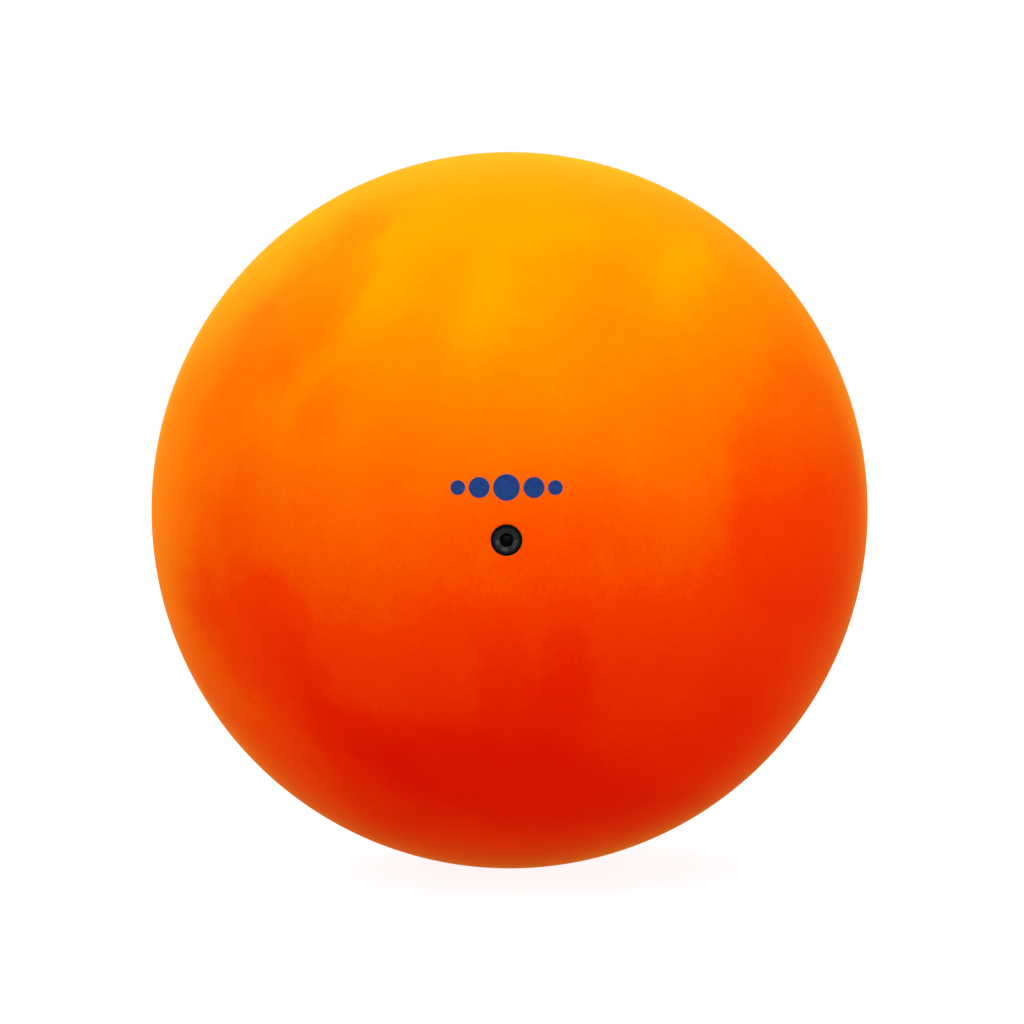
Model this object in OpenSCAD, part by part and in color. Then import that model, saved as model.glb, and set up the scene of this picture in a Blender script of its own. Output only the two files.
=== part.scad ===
// Rhythmic gymnastics ball: a seamless hollow shell, moulded in one piece, with a
// rubber plug valve pressed into a seat in its wall. Millimetres, +Z up. The origin
// is the ball's centre, and the valve looks along -Y. Both pieces are turned round
// the valve's axis, so each profile is drawn once: x is the distance from that axis
// and y the height along it, outwards from the ball's centre.

/* [Ball] */
// Diameter of the blown-up ball
ball_d = 190; // [180:1:200]
// Thickness of the moulded wall
wall_t = 3.2; // [2.6:0.1:4]

/* [Valve seat] */
// Diameter of the boss on the wall's inner side that carries the valve
boss_d = 13; // [12:0.5:20]
// How far the boss stands in from the wall
boss_h = 6; // [5:0.5:10]
// Radius of the cove between the boss and the wall
cove_r = 3; // [1:0.5:4]
// Radius on the boss's free rim
boss_rim_r = 1; // [0.4:0.1:1.6]
// Radius on the lip where the seat opens in the ball's surface
lip_r = 0.5; // [0.2:0.1:1]

/* [Valve] */
// Diameter of the valve's head
head_d = 7.6; // [7:0.1:9]
// Thickness of the head
head_t = 1.6; // [1.2:0.1:2.6]
// Radius on the head's rim
head_rim_r = 0.4; // [0.2:0.05:0.6]
// How far the head lies below the ball's surface, so that the ball rolls clear of it
head_drop = 0.3; // [0.1:0.05:0.6]
// Diameter of the stem that goes through the seat
stem_d = 5.4; // [4.6:0.1:6.2]
// Diameter of the barb that holds the valve from inside
barb_d = 7.4; // [6.4:0.1:9]
// Length of the barb's full diameter
barb_land = 0.8; // [0.4:0.1:1.6]
// Length of the barb's lead, from its full diameter to the nose
lead_h = 3.4; // [2:0.1:5]
// Diameter of the nose
nose_d = 4.6; // [4:0.1:5.6]
// Radius on the nose's rim
nose_rim_r = 0.9; // [0.4:0.1:1.2]

/* [Needle passage] */
// Diameter of the mouth that takes the pump's needle
mouth_d = 3.5; // [2.8:0.1:4]
// Diameter of the shallow dish that leads the needle to the mouth
dish_d = 5.4; // [4.6:0.1:5.6]
// Depth of the dish
dish_h = 0.5; // [0.3:0.05:0.8]
// Depth of the mouth, from the head's face to the funnel
mouth_h = 2; // [1.6:0.1:3]
// Depth of the funnel that guides the needle from the mouth to the channel
funnel_h = 0.8; // [0.5:0.1:1.4]
// Diameter of the needle channel
channel_d = 1.8; // [1.4:0.1:2.2]
// Thickness of the slit rubber that closes behind the needle
seal_t = 3; // [2:0.1:4]

/* [Fit] */
// Gap on each side between the valve and the holes of its seat
seat_gap = 0.05; // [0:0.01:0.1]

/* [Hidden] */
$fa = 2;
$fs = 0.3;

// Radii
outer_r = ball_d / 2;
inner_r = outer_r - wall_t;
boss_r = boss_d / 2;
head_r = head_d / 2;
stem_r = stem_d / 2;
barb_r = barb_d / 2;
nose_r = nose_d / 2;
mouth_r = mouth_d / 2;
dish_r = dish_d / 2;
channel_r = channel_d / 2;

// Heights along the valve's axis, from the surface inwards
face_y = outer_r - head_drop;
dish_y = face_y - dish_h;
funnel_y = face_y - mouth_h;
channel_y = funnel_y - funnel_h;
seat_y = face_y - head_t;
stem_top_y = seat_y + head_t / 2;
boss_y = inner_r - boss_h;
land_y = boss_y - barb_land;
nose_y = land_y - lead_h;

// How far a cut runs on past the surface that it opens
over = 1;

// How far a rounding circle runs through the faces that it joins, so that it crosses
// them instead of only touching them
bite = 0.002;

// Section of a round core of radius r between two heights
module core(r, low, high) {
    translate([0, low]) square([r, high - low]);
}

// Corner left between the upright line x = edge, a sphere round the ball's centre,
// and a circle of radius r that touches both from the side away from the axis. It
// runs on past the line and the sphere by over.
module sphere_corner(sphere_r, edge, r) {
    middle_x = edge + r;
    middle = [middle_x, sqrt(pow(sphere_r - r, 2) - pow(middle_x, 2))];
    touch = middle * (sphere_r + over) / (sphere_r - r);
    side = edge - over;
    difference() {
        polygon([middle, touch, [side, touch.y], [side, middle.y]]);
        translate(middle) circle(r + bite);
    }
}

// What rounding by r takes off the corner at p, whose two sides run along u and v
module corner_scrap(p, u, v, r) {
    half = acos(u * v) / 2;
    middle = p + (u + v) / norm(u + v) * r / sin(half);
    kite = [middle, p + u * r / tan(half), p, p + v * r / tan(half)];
    translate(middle) difference() {
        polygon([for (corner = kite) (corner - middle) * (r + over) / r]);
        circle(r + bite);
    }
}

// Turns a profile round the valve's axis and lays that axis along -Y
module turned() {
    rotate([90, 0, 0]) rotate_extrude() children();
}

// Section of the wall alone
module wall_profile() {
    intersection() {
        difference() {
            circle(outer_r);
            circle(inner_r);
        }
        core(outer_r + over, -outer_r - over, outer_r + over);
    }
}

// Section of the boss and of the cove that runs it into the wall. Both end halfway
// through the wall.
module boss_profile() {
    intersection() {
        circle(inner_r + wall_t / 2);
        difference() {
            union() {
                core(boss_r, boss_y, outer_r);
                sphere_corner(inner_r, boss_r, cove_r);
            }
            corner_scrap([boss_r, boss_y], [-1, 0], [0, 1], boss_rim_r);
        }
    }
}

// Counterbore for the head, bore for the stem, and the round on the lip
module seat_cut() {
    counterbore_r = head_r + seat_gap;
    core(counterbore_r, seat_y, outer_r + over);
    core(stem_r + seat_gap, boss_y - over, outer_r);
    sphere_corner(outer_r, counterbore_r, lip_r);
}

// Section of the head, with a flat face and a round on its rim
module head_profile() {
    difference() {
        core(head_r, seat_y, face_y);
        corner_scrap([head_r, face_y], [0, -1], [-1, 0], head_rim_r);
    }
}

// Section of the stem, of the barb behind the seat, and of its lead down to the nose
module stem_profile() {
    polygon([
        [0, nose_y],
        [nose_r, nose_y],
        [barb_r, land_y],
        [barb_r, boss_y],
        [stem_r, boss_y],
        [stem_r, stem_top_y],
        [0, stem_top_y]
    ]);
}

// Round on the nose's rim
module nose_cut() {
    lead = [barb_r - nose_r, lead_h];
    corner_scrap([nose_r, nose_y], [-1, 0], lead / norm(lead), nose_rim_r);
}

// Dish, mouth, funnel and blind channel for the pump's needle
module needle_cut() {
    polygon([[0, dish_y], [mouth_r, dish_y], [dish_r, face_y], [dish_r, face_y + over], [0, face_y + over]]);
    core(mouth_r, funnel_y, face_y);
    polygon([[0, channel_y], [channel_r, channel_y], [mouth_r, funnel_y], [0, funnel_y]]);
    core(channel_r, nose_y + seal_t, channel_y + over);
}

// Hollow ball with the valve's seat
module ball_shell() {
    color("#fb5a0c") turned() difference() {
        union() {
            wall_profile();
            boss_profile();
        }
        seat_cut();
    }
}

// Plug valve: head, stem and barb, with the needle's passage down the middle
module valve() {
    color("#1f2020") turned() difference() {
        union() {
            head_profile();
            stem_profile();
        }
        nose_cut();
        needle_cut();
    }
}

ball_shell();
valve();
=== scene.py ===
import math

import bpy
import numpy as np
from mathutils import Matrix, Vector


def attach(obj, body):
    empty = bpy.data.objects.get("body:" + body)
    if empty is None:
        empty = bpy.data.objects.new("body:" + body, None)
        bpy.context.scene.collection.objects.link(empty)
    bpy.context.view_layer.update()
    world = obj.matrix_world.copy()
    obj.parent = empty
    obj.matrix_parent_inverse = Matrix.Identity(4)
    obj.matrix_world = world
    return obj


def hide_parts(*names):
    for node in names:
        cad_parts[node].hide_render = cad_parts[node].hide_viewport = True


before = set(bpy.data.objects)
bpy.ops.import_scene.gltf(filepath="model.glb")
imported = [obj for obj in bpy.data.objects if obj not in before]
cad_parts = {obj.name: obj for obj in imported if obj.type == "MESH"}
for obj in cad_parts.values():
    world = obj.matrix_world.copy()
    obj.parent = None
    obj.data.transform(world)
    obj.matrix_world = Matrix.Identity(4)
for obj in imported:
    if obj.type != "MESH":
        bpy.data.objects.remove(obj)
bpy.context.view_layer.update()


# Ball. A hollow sphere of soft rubber, seamless, because it comes out of its mould in
# one piece. The lip, the counterbore and the boss that carry the valve are moulded
# into its wall, and the wall has the same thickness everywhere else.
MM = 0.001
OUTER_R = 95.0
WALL_T = 3.2
INNER_R = OUTER_R - WALL_T
HEAD_R = 3.8
HEAD_T = 1.6
HEAD_DROP = 0.3
FACE_Y = OUTER_R - HEAD_DROP
SEAT_Y = FACE_Y - HEAD_T
STEM_R = 2.7
SEAT_GAP = 0.05
BOSS_R = 6.5
BOSS_H = 6.0
BOSS_Y = INNER_R - BOSS_H
BOSS_RIM_R = 1.0
COVE_R = 3.0
LIP_R = 0.5


def arc(middle, radius, start, end, steps):
    """Points (x, y) of a circle's arc: middle + radius (cos a, sin a), while a goes
    from start to end, in radians."""
    a = np.linspace(start, end, steps + 1)
    return np.stack([middle[0] + radius * np.cos(a), middle[1] + radius * np.sin(a)], 1)


def closed_skin(rings, first_pole, last_pole, first=0):
    """Points and faces of a closed skin: rings is a grid of points, one row a ring, and
    each pole is the point that closes the skin at its end. Quads join point (i, j) to
    (i, j + 1) and to the ring below, and a fan of triangles joins each pole to the
    ring beside it. first is the number of the skin's first point in its mesh."""
    rows, turns = rings.shape[:2]
    points = np.concatenate([rings.reshape(-1, 3), [first_pole, last_pole]])
    pole = first + rows * turns
    index = np.arange(first, pole).reshape(rows, turns)
    after = np.roll(index, -1, axis=1)
    quads = np.stack([index[:-1], after[:-1], after[1:], index[1:]], -1).reshape(-1, 4)
    top = np.stack([np.full(turns, pole), after[0], index[0]], -1)
    end = np.stack([np.full(turns, pole + 1), index[-1], after[-1]], -1)
    return points, quads.tolist() + top.tolist() + end.tolist()


def turned_skin(profile, turns):
    """Closed skin of a profile carried round the valve's axis: a row (x, y) of the
    profile becomes the ring (x cos a, -y, x sin a), with a from 0 to 360 degrees. The
    first and last rows lie on the axis and are the poles."""
    x, y = np.asarray(profile, float).T
    a = np.linspace(0, 2 * np.pi, turns, endpoint=False)
    rings = np.stack(
        [np.outer(x, np.cos(a)), np.outer(-y, np.ones(turns)), np.outer(x, np.sin(a))], -1
    )
    return closed_skin(rings[1:-1] * MM, rings[0, 0] * MM, rings[-1, 0] * MM)


def ball_profile():
    """Profile of the shell, from the back outside, round the outer sphere to the lip,
    down the seat, over the boss and its cove, and round the inner sphere to the back."""
    counterbore_r = HEAD_R + SEAT_GAP
    lip = np.array([counterbore_r + LIP_R, 0])
    lip[1] = math.sqrt((OUTER_R - LIP_R) ** 2 - lip[0] ** 2)
    lip_angle = math.atan2(lip[1], lip[0])
    cove = np.array([BOSS_R + COVE_R, 0])
    cove[1] = math.sqrt((INNER_R - COVE_R) ** 2 - cove[0] ** 2)
    cove_angle = math.atan2(cove[1], cove[0])
    bore_r = STEM_R + SEAT_GAP
    rim = (BOSS_R - BOSS_RIM_R, BOSS_Y + BOSS_RIM_R)
    return np.concatenate([
        arc((0, 0), OUTER_R, -math.pi / 2, lip_angle, steps=180),
        arc(lip, LIP_R, lip_angle, math.pi, steps=8)[1:],
        [(counterbore_r, SEAT_Y), (bore_r, SEAT_Y), (bore_r, BOSS_Y)],
        arc(rim, BOSS_RIM_R, -math.pi / 2, 0, steps=5),
        arc(cove, COVE_R, math.pi, cove_angle, steps=6),
        arc((0, 0), INNER_R, cove_angle, -math.pi / 2, steps=60)[1:],
    ])


def piece(name, points, faces, material, crease=math.radians(28)):
    """Makes a named mesh object of points and faces, smooth but for corners sharper
    than crease, with its one material."""
    mesh = bpy.data.meshes.new(name)
    mesh.from_pydata(points, [], faces)
    mesh.shade_smooth()
    mesh.set_sharp_from_angle(angle=crease)
    mesh.materials.append(material)
    made = bpy.data.objects.new(name, mesh)
    bpy.context.scene.collection.objects.link(made)
    return made


def shade(code):
    """Linear colour, with alpha 1, of an sRGB hex code such as "#fb5a0c"."""
    part = np.array([int(code[i : i + 2], 16) for i in (1, 3, 5)]) / 255
    part = np.where(part <= 0.04045, part / 12.92, ((part + 0.055) / 1.055) ** 2.4)
    return (*part.tolist(), 1.0)


def cleared(block):
    """Turns on the nodes of a material or a world, and gives its tree, emptied."""
    block.use_nodes = True
    block.node_tree.nodes.clear()
    return block.node_tree


def add(tree, kind, feeds=(), **settings):
    """Adds a node of a kind with its settings. feeds names or numbers its sockets, each
    with the value that it holds or the socket that feeds it. On a colour Mix node,
    sockets 6 and 7 are the two colours, and output 2 is the mixed one."""
    made = tree.nodes.new(kind)
    for name, value in settings.items():
        setattr(made, name, value)
    for socket, value in dict(feeds).items():
        if isinstance(value, bpy.types.NodeSocket):
            tree.links.new(value, made.inputs[socket])
        else:
            made.inputs[socket].default_value = value
    return made


# Soft PVC rubber, moulded against a finely blasted tool. Its colour is a painted fade of
# light and shade: amber yellow on top, where the light falls, and red below, in the
# shade, with soft clouds over it. The skin is matte and velvety, so its rim turns pale.
rubber = bpy.data.materials.new("soft_rubber_painted_light_fade")
tree = cleared(rubber)
place = add(tree, "ShaderNodeTexCoord").outputs["Object"]
radial = add(tree, "ShaderNodeVectorMath", {0: place}, operation="NORMALIZE").outputs[0]

# Place along the painted fade of light and shade, 0 at the red, shaded end and 1 at the
# yellow, lit one. Its axis leans from straight up a little toward the front and the left.
FADE_AXIS = Vector((-0.10, -0.20, 1.0)).normalized()
along = add(
    tree, "ShaderNodeVectorMath", {0: radial, 1: FADE_AXIS}, operation="DOT_PRODUCT"
).outputs["Value"]
shift = add(tree, "ShaderNodeMath", {0: along, 1: 0.5, 2: 0.5}, operation="MULTIPLY_ADD").outputs[0]

# Wisps of random tone, longer up and down than across, and specks of pigment move the
# colour along the fade. Each row has the width in mm, the colour's whole swing along the
# fade, and the width as a share of the length.
WISPS = (
    (1.2, 0.06, 1),
    (3, 0.03, 1),
    (12, 0.05, 0.7),
    (35, 0.10, 0.6),
)
for width, swing, slim in WISPS:
    stretched = add(
        tree, "ShaderNodeVectorMath", {0: radial, 1: (1, 1, slim)}, operation="MULTIPLY"
    ).outputs[0]
    wisp = add(tree, "ShaderNodeTexNoise", {
        "Vector": stretched,
        "Scale": OUTER_R / width,
        "Detail": 2.0,
        "Roughness": 0.5,
    }).outputs[0]
    wisp = add(tree, "ShaderNodeMath", {0: wisp, 1: 0.5}, operation="SUBTRACT").outputs[0]
    shift = add(
        tree, "ShaderNodeMath", {0: wisp, 1: swing, 2: shift}, operation="MULTIPLY_ADD"
    ).outputs[0]

# The clouds' outlines wander. Each row has the size of the bends in mm, and their
# whole swing, in ball radii.
DRIFTS = (
    (27, 0.15),
    (7, 0.07),
)
drifted = radial
for width, swing in DRIFTS:
    drift = add(tree, "ShaderNodeTexNoise", {
        "Vector": radial,
        "Scale": OUTER_R / width,
        "Detail": 3.0,
        "Roughness": 0.6,
    }).outputs["Color"]
    drift = add(
        tree, "ShaderNodeVectorMath", {0: drift, 1: (0.5, 0.5, 0.5)}, operation="SUBTRACT"
    ).outputs[0]
    drifted = add(
        tree,
        "ShaderNodeVectorMath",
        {0: drift, 1: (swing, swing, swing), 2: drifted},
        operation="MULTIPLY_ADD",
    ).outputs[0]

# Single ovals on the skin, placed one by one, each moving the colour along the fade. They
# are partly the rubber's own clouds and partly painted light and shade: the pale ones
# along the left, lower left and bottom rims are painted rim light, and the dark ones low
# down and on the right are painted shade. Each row has its middle as seen from the
# valve's side (right and up, in ball radii), half its width and height, its lean in
# degrees, how far it moves the colour along the fade, and the share of the oval over
# which it dies away
CLOUDS_AND_PAINTED_LIGHT = (
    (-0.57, 0.57, 0.16, 0.52, 40, -0.11, 0.7),
    (-0.35, 0.85, 0.12, 0.20, 60, -0.05, 0.8),
    (-0.50, 0.34, 0.07, 0.16, 30, -0.05, 0.8),
    (-0.58, -0.28, 0.10, 0.36, -30, -0.08, 1.0),
    (-0.38, -0.56, 0.12, 0.26, -60, -0.12, 0.8),
    (0.00, -0.66, 0.55, 0.20, 10, -0.17, 0.5),
    (0.45, -0.80, 0.25, 0.10, 10, -0.16, 0.5),
    (-0.02, -0.36, 0.10, 0.26, 0, -0.06, 0.7),
    (0.14, -0.38, 0.12, 0.26, 15, -0.08, 0.6),
    (0.42, -0.55, 0.24, 0.20, 0, 0.04, 0.8),
    (-0.66, -0.60, 0.26, 0.62, -42, 0.20, 0.8),
    (-0.15, -0.90, 0.34, 0.14, -15, 0.16, 0.7),
    (-0.93, -0.10, 0.17, 0.50, 0, 0.13, 0.9),
    (0.80, 0.10, 0.30, 0.44, 0, -0.06, 0.3),
    (0.48, 0.66, 0.12, 0.26, 20, 0.07, 0.9),
    (-0.06, 0.57, 0.16, 0.22, 10, 0.06, 0.9),
    (-0.32, 0.62, 0.10, 0.20, 20, 0.04, 1.0),
    (0.25, 0.60, 0.14, 0.26, 10, -0.04, 0.9),
    (0.10, 0.06, 0.40, 0.20, 0, -0.04, 0.8),
    (0.00, 0.88, 0.40, 0.08, 0, -0.04, 0.9),
    (0.78, -0.50, 0.16, 0.30, 30, 0.08, 0.9),
    (-0.70, 0.12, 0.12, 0.28, 5, -0.04, 0.9),
)
OVAL_DEPTH = 0.5
for right, up, half_width, half_height, lean, move, edge in CLOUDS_AND_PAINTED_LIGHT:
    oval = add(tree, "ShaderNodeMapping", {
        "Vector": drifted,
        "Location": (right, -math.sqrt(1 - right**2 - up**2), up),
        "Rotation": (0, math.radians(lean), 0),
        "Scale": (half_width, OVAL_DEPTH, half_height),
    }, vector_type="TEXTURE").outputs[0]
    out = add(tree, "ShaderNodeVectorMath", {0: oval}, operation="LENGTH").outputs["Value"]
    # Each oval's move along the fade: the rubber's own clouds, and painted light and shade
    oval_shift = add(tree, "ShaderNodeMapRange", {
        "Value": out,
        "From Min": 1 - edge,
        "From Max": 1.0,
        "To Min": move,
        "To Max": 0.0,
    }, interpolation_type="SMOOTHSTEP").outputs[0]
    shift = add(tree, "ShaderNodeMath", {0: shift, 1: oval_shift}).outputs[0]

# Colours along the painted fade, from the red of the shaded bottom through orange to the
# yellow of the lit top
FADE = {
    0.00: "#e81000",
    0.30: "#f02000",
    0.50: "#f83c00",
    0.75: "#ff7800",
    0.95: "#ffa000",
}
fade = add(tree, "ShaderNodeValToRGB", {0: shift})
ramp = fade.color_ramp
while len(ramp.elements) > 1:
    ramp.elements.remove(ramp.elements[-1])
for i, (where, code) in enumerate(FADE.items()):
    stop = ramp.elements[0] if i == 0 else ramp.elements.new(where)
    stop.position = where
    stop.color = shade(code)

# Blasted grain of the mould, about 1 mm across with finer grain in it: a shallow
# relief, duller and a little lighter on its tops
GRAIN = 1.0
GRAIN_H = 0.06
grain = add(tree, "ShaderNodeTexNoise", {
    "Vector": place,
    "Scale": 1 / (GRAIN * MM),
    "Detail": 3.0,
    "Roughness": 0.6,
}).outputs[0]
relief = add(tree, "ShaderNodeBump", {
    "Height": grain,
    "Strength": 1.0,
    "Distance": GRAIN_H * MM,
}).outputs[0]
by_grain = {"Value": grain, "From Min": 0.3, "From Max": 0.7}
light = add(tree, "ShaderNodeMapRange", {**by_grain, "To Min": 0.97, "To Max": 1.03}).outputs[0]
dull = add(tree, "ShaderNodeMapRange", {**by_grain, "To Min": 0.56, "To Max": 0.66}).outputs[0]
tone = add(
    tree, "ShaderNodeVectorMath", {0: fade.outputs["Color"], "Scale": light}, operation="SCALE"
).outputs[0]
skin = add(tree, "ShaderNodeBsdfPrincipled", {
    "Base Color": tone,
    "Roughness": dull,
    "Normal": relief,
    "IOR": 1.5,
    "Specular IOR Level": 0.002,
    "Sheen Weight": 0.45,
    "Sheen Roughness": 0.30,
    "Sheen Tint": shade("#e8d838"),
}).outputs["BSDF"]
add(tree, "ShaderNodeOutputMaterial", {"Surface": skin})

ball = piece("ball_shell_skin", *turned_skin(ball_profile(), turns=320), rubber)
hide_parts("ball_shell")
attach(ball, "root")


# Valve. A plug of black rubber, moulded in one piece and pushed into the seat from
# outside, where its head fills the counterbore and its barb holds it. The needle goes
# in over the dish and the mouth, down a funnel, and opens the slit in its closed end.
HEAD_RIM_R = 0.4
BARB_R = 3.7
BARB_LAND = 0.8
LEAD_H = 3.4
NOSE_R = 2.3
NOSE_RIM_R = 0.9
MOUTH_R = 1.75
DISH_R = 2.7
DISH_H = 0.5
MOUTH_H = 2.0
FUNNEL_H = 0.8
CHANNEL_R = 0.9
SEAL_T = 3.0


def rounded(points, corner, radius, steps):
    """Points of a profile with one corner, given by its index, rounded: the arc of that
    radius touches both sides of the corner."""
    p = np.asarray(points, float)
    before, at, after = p[corner - 1], p[corner], p[corner + 1]
    u = (before - at) / np.linalg.norm(before - at)
    v = (after - at) / np.linalg.norm(after - at)
    half = math.acos(u @ v) / 2
    middle = at + (u + v) / np.linalg.norm(u + v) * radius / math.sin(half)
    start = at + u * radius / math.tan(half) - middle
    end = at + v * radius / math.tan(half) - middle
    a = math.atan2(start[1], start[0])
    turn = (math.atan2(end[1], end[0]) - a + math.pi) % (2 * math.pi) - math.pi
    return np.concatenate([p[:corner], arc(middle, radius, a, a + turn, steps), p[corner + 1 :]])


def valve_profile():
    """Profile of the valve, from the nose's middle up its outside, over the head's face
    and down the dish, the mouth, the funnel and the channel to the closed end."""
    land_y = BOSS_Y - BARB_LAND
    nose_y = land_y - LEAD_H
    funnel_y = FACE_Y - MOUTH_H
    nose, head_rim = 1, 7
    corners = [
        (0, nose_y), (NOSE_R, nose_y), (BARB_R, land_y), (BARB_R, BOSS_Y),
        (STEM_R, BOSS_Y), (STEM_R, SEAT_Y), (HEAD_R, SEAT_Y),
        (HEAD_R, FACE_Y), (DISH_R, FACE_Y), (MOUTH_R, FACE_Y - DISH_H),
        (MOUTH_R, funnel_y), (CHANNEL_R, funnel_y - FUNNEL_H),
        (CHANNEL_R, nose_y + SEAL_T), (0, nose_y + SEAL_T),
    ]
    with_head = rounded(corners, head_rim, HEAD_RIM_R, steps=8)
    return rounded(with_head, nose, NOSE_RIM_R, steps=6)


# Black natural rubber, compression moulded in a polished tool: a blue-black that takes
# a satin gleam in its dish. Where the tool was greasy it came out duller and greyer, in
# patches about 0.8 mm across, and it has a fine pebble of about 0.15 mm. From the dish's
# edge out to the rim it is painted a deeper black with less gloss: painted shade of the
# groove between the head and the ball's lip.
GREASE = 0.8
PEBBLE = 0.15
PEBBLE_H = 0.01
# Radii in mm from the valve's axis over which the painted shade of the groove comes in
SHADE_START_R = 2.75
SHADE_FULL_R = 3.4
black = bpy.data.materials.new("black_moulded_rubber")
tree = cleared(black)
place = add(tree, "ShaderNodeTexCoord").outputs["Object"]
patches = add(tree, "ShaderNodeTexNoise", {
    "Vector": place,
    "Scale": 1 / (GREASE * MM),
    "Detail": 2.0,
    "Roughness": 0.5,
}).outputs[0]
greasy = add(
    tree, "ShaderNodeMapRange", {"Value": patches, "From Min": 0.35, "From Max": 0.65}
).outputs[0]
pebble = add(
    tree, "ShaderNodeTexNoise", {"Vector": place, "Scale": 1 / (PEBBLE * MM), "Detail": 1.0}
).outputs[0]
off_axis = add(tree, "ShaderNodeVectorMath", {0: place, 1: (1, 0, 1)}, operation="MULTIPLY").outputs[0]
off_axis = add(tree, "ShaderNodeVectorMath", {0: off_axis}, operation="LENGTH").outputs["Value"]
# Painted shade of the groove round the head: a mask from the dish's edge out to the rim
shaded_rim = add(tree, "ShaderNodeMapRange", {
    "Value": off_axis,
    "From Min": SHADE_START_R * MM,
    "From Max": SHADE_FULL_R * MM,
}).outputs[0]
black_tone = add(
    tree, "ShaderNodeMix", {0: greasy, 6: shade("#080b0c"), 7: shade("#111517")}, data_type="RGBA"
).outputs[2]
# Painted shade: toward the rim the black is mixed to a deeper black
black_tone = add(
    tree, "ShaderNodeMix", {0: shaded_rim, 6: black_tone, 7: shade("#030404")}, data_type="RGBA"
).outputs[2]
dull = add(tree, "ShaderNodeMapRange", {"Value": greasy, "To Min": 0.16, "To Max": 0.24}).outputs[0]
# Painted shade also turns the gloss down toward the rim
shine = add(tree, "ShaderNodeMapRange", {"Value": shaded_rim, "To Min": 0.18, "To Max": 0.03}).outputs[0]
relief = add(tree, "ShaderNodeBump", {"Height": pebble, "Distance": PEBBLE_H * MM}).outputs[0]
plug = add(tree, "ShaderNodeBsdfPrincipled", {
    "Base Color": black_tone,
    "Roughness": dull,
    "Normal": relief,
    "IOR": 1.5,
    "Specular IOR Level": shine,
}).outputs["BSDF"]
add(tree, "ShaderNodeOutputMaterial", {"Surface": plug})

valve = piece(
    "valve_plug", *turned_skin(valve_profile(), turns=128), black, crease=math.radians(20)
)
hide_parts("valve")
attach(valve, "root")


# Printed row. Five plain discs of blue ink, pad printed on the skin above the valve as
# a film that follows the ball's curve and thins out at its edge.
DISCS = (3.7, 5.2, 6.6, 5.2, 3.7)
DISC_GAP = 0.8
DISC_TURNS = 96
ROW_TILT = math.radians(7.8)
FILM_T = 0.03
FILM_EDGE = 0.12
TOP_RINGS = 8
EDGE_RINGS = 5
UNDER_RINGS = 3


def disc_film(side, radius, first):
    """Closed film of ink on the ball: the point at arc length s from its middle in
    direction a lies along cos(s/R) c + sin(s/R) (cos a e + sin a f), where c is the
    middle's direction and e and f point sideways and down from it. It stands FILM_T
    proud, and falls to as much below the skin at its edge and on its under side. side
    is how far its middle lies from the row's, and first its first point's number."""
    row_middle = np.array([0, -math.cos(ROW_TILT), math.sin(ROW_TILT)])
    sideways = np.array([1.0, 0, 0])
    turn = side / OUTER_R
    c = math.cos(turn) * row_middle + math.sin(turn) * sideways
    e = math.cos(turn) * sideways - math.sin(turn) * row_middle
    f = np.cross(e, c)
    fall = np.linspace(0, math.pi / 2, EDGE_RINGS)
    s = np.concatenate([
        np.linspace(0, 1, TOP_RINGS + 2)[1:-1] * (radius - FILM_EDGE),
        radius - FILM_EDGE + FILM_EDGE * np.sin(fall),
        np.linspace(1, 0, UNDER_RINGS + 2)[1:-1] * radius,
    ])
    lift = np.concatenate([
        np.full(TOP_RINGS, FILM_T),
        2 * FILM_T * np.cos(fall) - FILM_T,
        np.full(UNDER_RINGS, -FILM_T),
    ])
    a = np.linspace(0, 2 * np.pi, DISC_TURNS, endpoint=False)
    out = np.cos(a)[:, None] * e + np.sin(a)[:, None] * f
    way = np.cos(s / OUTER_R)[:, None, None] * c + np.sin(s / OUTER_R)[:, None, None] * out
    rings = way * (OUTER_R + lift)[:, None, None] * MM
    return closed_skin(rings, c * (OUTER_R + FILM_T) * MM, c * (OUTER_R - FILM_T) * MM, first)


# The discs lie from left to right, with the middle one above the valve
row_points, row_faces, first = [], [], 0
side = -(sum(DISCS) + DISC_GAP * (len(DISCS) - 1)) / 2
for size in DISCS:
    points, faces = disc_film(side + size / 2, size / 2, first)
    row_points.append(points)
    row_faces += faces
    first += len(points)
    side += size + DISC_GAP

# Two-part pad printing ink, semi-gloss, a deep blue that covers the rubber fully. The
# pad lets go of it unevenly, so it is darker and glossier where it lies thicker, in
# patches about 1 mm across. The rubber's grain shows through it softened, and is drawn
# about 0.6 mm across.
INK_PATCH = 1.0
INK_GRAIN = 0.6
INK_GRAIN_H = 0.03
ink = bpy.data.materials.new("blue_printing_ink")
tree = cleared(ink)
place = add(tree, "ShaderNodeTexCoord").outputs["Object"]
laid = add(
    tree, "ShaderNodeTexNoise", {"Vector": place, "Scale": 1 / (INK_PATCH * MM), "Detail": 3.0}
).outputs[0]
thin = add(
    tree, "ShaderNodeMapRange", {"Value": laid, "From Min": 0.35, "From Max": 0.65}
).outputs[0]
grain = add(
    tree, "ShaderNodeTexNoise", {"Vector": place, "Scale": 1 / (INK_GRAIN * MM), "Detail": 3.0}
).outputs[0]
blue = add(
    tree, "ShaderNodeMix", {0: thin, 6: shade("#06306e"), 7: shade("#0e3a7c")}, data_type="RGBA"
).outputs[2]
dull = add(tree, "ShaderNodeMapRange", {"Value": thin, "To Min": 0.34, "To Max": 0.50}).outputs[0]
relief = add(tree, "ShaderNodeBump", {"Height": grain, "Distance": INK_GRAIN_H * MM}).outputs[0]
film = add(tree, "ShaderNodeBsdfPrincipled", {
    "Base Color": blue,
    "Roughness": dull,
    "Normal": relief,
    "IOR": 1.5,
    "Specular IOR Level": 0.2,
}).outputs["BSDF"]
add(tree, "ShaderNodeOutputMaterial", {"Surface": film})

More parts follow.
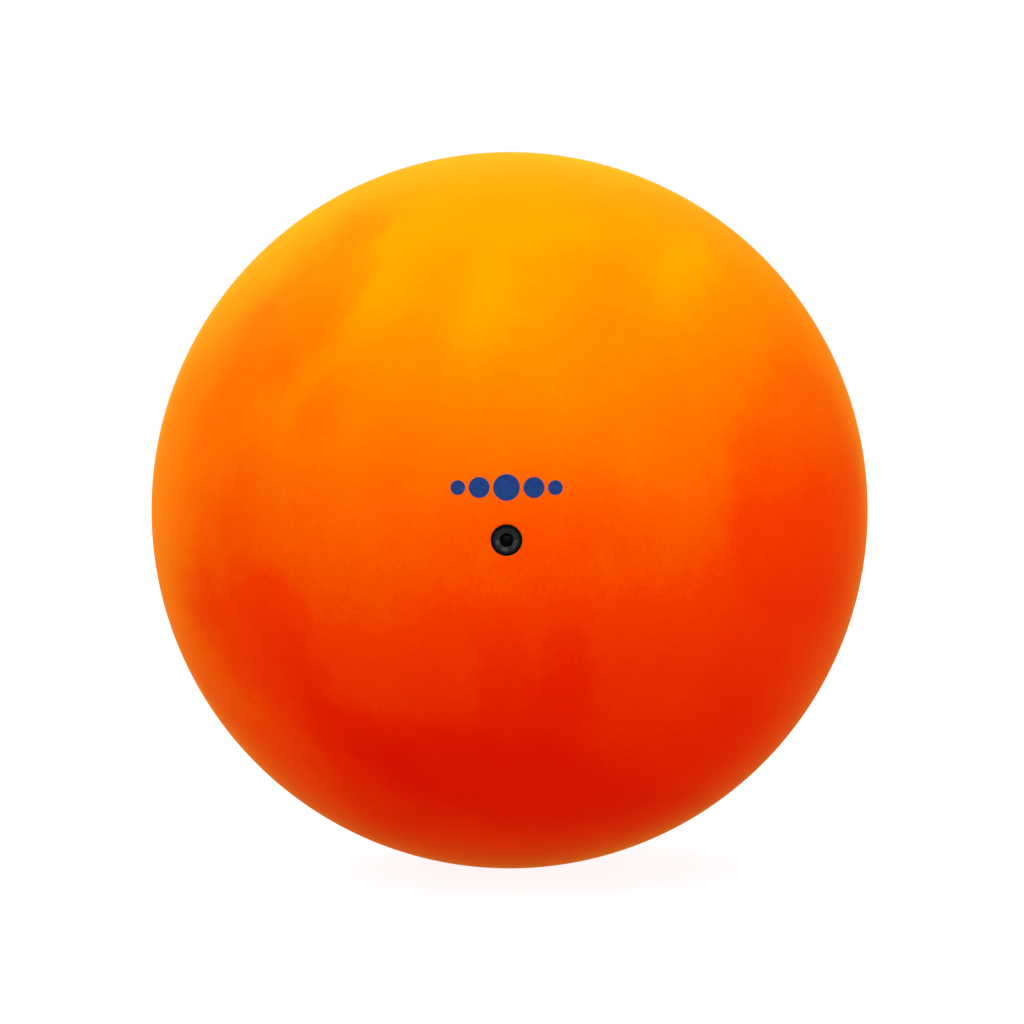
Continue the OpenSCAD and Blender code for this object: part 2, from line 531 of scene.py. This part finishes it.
row = piece("printed_row", np.concatenate(row_points), row_faces, ink)
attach(row, "root")


# Floor. A plain light table that the ball rests on: a white acrylic sheet, lit from
# below, so that the ball's under side isn't dark. The camera, and gloss, see it as
# white, and it keeps the ball's soft shadow.
FLOOR_SIZE = 8.0
FLOOR_TILES = 8


def strength(tree, lit, seen):
    """Strength of a floor or a room that glows: lit to the rays that light the ball,
    and seen to the camera's, glossy and transmitted rays."""
    ray = add(tree, "ShaderNodeLightPath").outputs
    direct = ray["Is Camera Ray"]
    for kind in ("Is Glossy Ray", "Is Transmission Ray"):
        direct = add(tree, "ShaderNodeMath", {0: direct, 1: ray[kind]}, operation="MAXIMUM").outputs[0]
    return add(tree, "ShaderNodeMapRange", {"Value": direct, "To Min": lit, "To Max": seen}).outputs[0]


acrylic = bpy.data.materials.new("white_acrylic_sheet")
tree = cleared(acrylic)
glow = add(tree, "ShaderNodeEmission", {
    "Color": shade("#ffffff"),
    "Strength": strength(tree, lit=0.52, seen=0.9),
}).outputs[0]
face = add(tree, "ShaderNodeBsdfDiffuse", {"Color": shade("#7d7d7d")}).outputs[0]
sheet = add(tree, "ShaderNodeAddShader", {0: face, 1: glow}).outputs[0]
add(tree, "ShaderNodeOutputMaterial", {"Surface": sheet})

lines = np.linspace(-FLOOR_SIZE / 2, FLOOR_SIZE / 2, FLOOR_TILES + 1)
u, v = np.meshgrid(lines, lines)
grid = np.stack([u, v, np.full_like(u, -OUTER_R * MM)], -1).reshape(-1, 3)
corner = np.arange(u.size).reshape(u.shape)
tiles = np.stack([corner[:-1, :-1], corner[:-1, 1:], corner[1:, 1:], corner[1:, :-1]], -1)
floor = piece("floor", grid, tiles.reshape(-1, 4).tolist(), acrylic)


# Room. White all round to the camera and to gloss, and a plain daylight level to the
# ball.
world = bpy.data.worlds.new("white_room")
bpy.context.scene.world = world
tree = cleared(world)
sky = add(tree, "ShaderNodeBackground", {
    "Color": shade("#ffffff"),
    "Strength": strength(tree, lit=0.5, seen=1.0),
}).outputs[0]
add(tree, "ShaderNodeOutputWorld", {"Surface": sky})


# Lamps. Softboxes all round: a large one above and before the ball, one on each side,
# two behind that light its rims, and a low strip on the left, which shines back from
# the dish of the valve.
def softbox(name, way, distance, width, height, level):
    """Area lamp at a distance along way from the ball's middle, facing it, all in
    metres. level is what it adds to a white card that faces it there: power = level
    pi^2 distance^2."""
    lamp = bpy.data.lights.new(name, "AREA")
    lamp.shape = "RECTANGLE"
    lamp.size, lamp.size_y = width, height
    lamp.energy = level * math.pi**2 * distance**2
    made = bpy.data.objects.new(name, lamp)
    way = Vector(way).normalized()
    made.location = way * distance
    made.rotation_euler = way.to_track_quat("Z", "Y").to_euler()
    bpy.context.scene.collection.objects.link(made)


softbox("key_softbox", (0.15, -0.50, 0.85), distance=1.8, width=1.2, height=1.2, level=0.43)
softbox("left_softbox", (-0.75, -0.50, 0.60), distance=1.5, width=0.6, height=0.6, level=0.17)
softbox("left_strip", (-0.80, -0.56, 0.12), distance=1.4, width=0.08, height=0.45, level=0.066)
softbox("right_softbox", (0.75, -0.60, 0.10), distance=1.6, width=0.8, height=0.7, level=0.20)
softbox("left_rim_softbox", (-0.60, 0.65, 0.50), distance=1.4, width=0.5, height=0.6, level=0.36)
softbox("back_softbox", (0, 0.75, 0.65), distance=1.6, width=1.0, height=1.0, level=0.40)


# Camera. Twelve ball radii away and a little above, almost square on to the valve. Its
# shift, in pixels of the frame, brings the ball's outline to its place.
LENS = 150.6
SENSOR = 36.0
FRAME_PX = 1024
SHIFT_RIGHT_PX = 2.4
SHIFT_UP_PX = -1.75
DISTANCE = 1.14
RISE = math.radians(4.44)
SWING = math.radians(0.456)
camera = bpy.data.cameras.new("camera")
camera.lens = LENS
camera.sensor_width = SENSOR
camera.shift_x = SHIFT_RIGHT_PX / FRAME_PX
camera.shift_y = SHIFT_UP_PX / FRAME_PX
viewer = bpy.data.objects.new("camera", camera)
way = Vector((
    math.sin(SWING) * math.cos(RISE),
    -math.cos(SWING) * math.cos(RISE),
    math.sin(RISE),
))
viewer.location = way * DISTANCE
viewer.rotation_euler = way.to_track_quat("Z", "Y").to_euler()
bpy.context.scene.collection.objects.link(viewer)
bpy.context.scene.camera = viewer
bpy.context.scene.view_settings.view_transform = "Standard"
